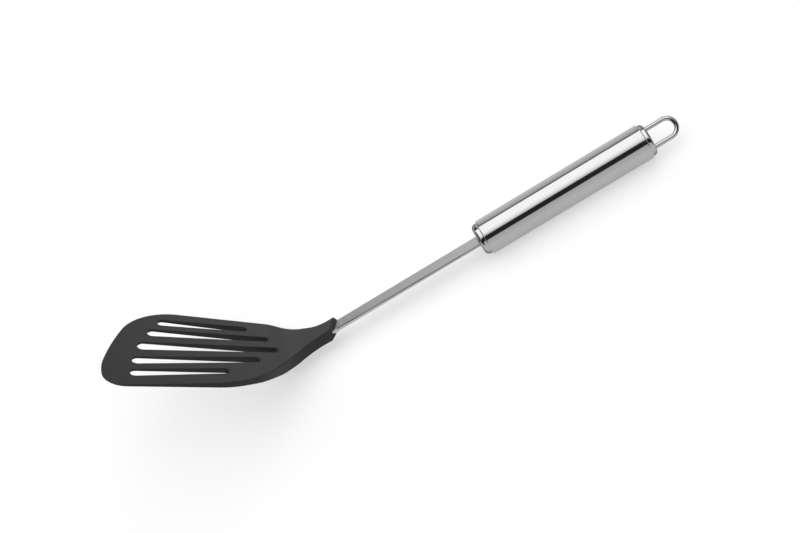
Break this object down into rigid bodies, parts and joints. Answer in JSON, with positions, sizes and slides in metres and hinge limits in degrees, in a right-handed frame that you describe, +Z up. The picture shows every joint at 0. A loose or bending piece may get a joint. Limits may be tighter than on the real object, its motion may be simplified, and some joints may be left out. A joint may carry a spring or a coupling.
{
  "type": "slotted turner",
  "caption": "Kitchen turner with a bent slotted nylon blade, a flat steel shank, and a tubular steel handle with a hanging loop.",
  "frame": {"origin": "middle of the grip tube, on its axis", "axes": "+X along the handle's axis towards the hanging loop, +Y across it to the blade's far side, +Z up from the surface that the turner lies on"},
  "size_m": [0.3484, 0.0782, 0.0875],
  "materials": {
    "nylon": "fine matte",
    "satin_steel": "satin",
    "polished_steel": "polished",
    "plug_plastic": "moulded"
  },
  "bodies": {
    "root": {"turner_head": "nylon", "shank": "satin_steel", "front_cap": "polished_steel", "handle_tube": "satin_steel", "rear_cap": "polished_steel", "hanging_loop": "polished_steel", "tang_core": "plug_plastic", "loop_plate": "satin_steel"}
  },
  "joints": []
}
